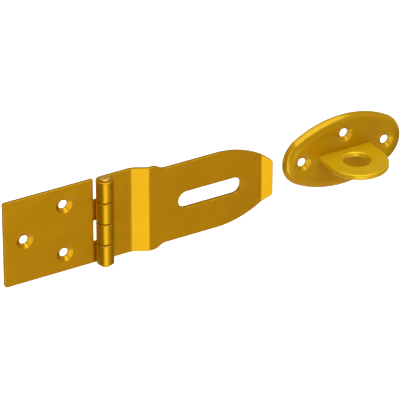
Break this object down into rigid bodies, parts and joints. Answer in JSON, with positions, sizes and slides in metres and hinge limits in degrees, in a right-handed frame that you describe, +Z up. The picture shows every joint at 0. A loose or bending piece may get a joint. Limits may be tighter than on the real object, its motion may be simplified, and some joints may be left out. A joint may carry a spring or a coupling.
{
  "type": "locking hasp",
  "caption": "Hinged hasp with a slotted, joggled strap on a screwed leaf, and an oval staple plate with a flat padlock eye that passes through the slot.",
  "frame": {"origin": "on the mounting plane, midway between the leaf's two hinge-side screw holes", "axes": "+X along the hasp from the leaf to the staple, +Z up along the hinge pin, -Y out from the wall"},
  "size_m": [0.1966, 0.0281, 0.0434],
  "materials": {
    "plated_sheet": "gold-coloured plating, satin",
    "plated_pin": "gold-coloured plating, peened ends"
  },
  "bodies": {
    "root": {"hinge_leaf": "plated_sheet", "hinge_pin": "plated_pin", "staple_plate": "plated_sheet", "staple_eye": "plated_sheet"},
    "strap": {"hasp_strap": "plated_sheet"}
  },
  "joints": [
    {"name": "strap_hinge", "type": "hinge", "parent": "root", "child": "strap", "pos_m": [0.0183, -0.00385, 0], "axis": [0, 0, -1], "range_deg": [0, 178]}
  ]
}
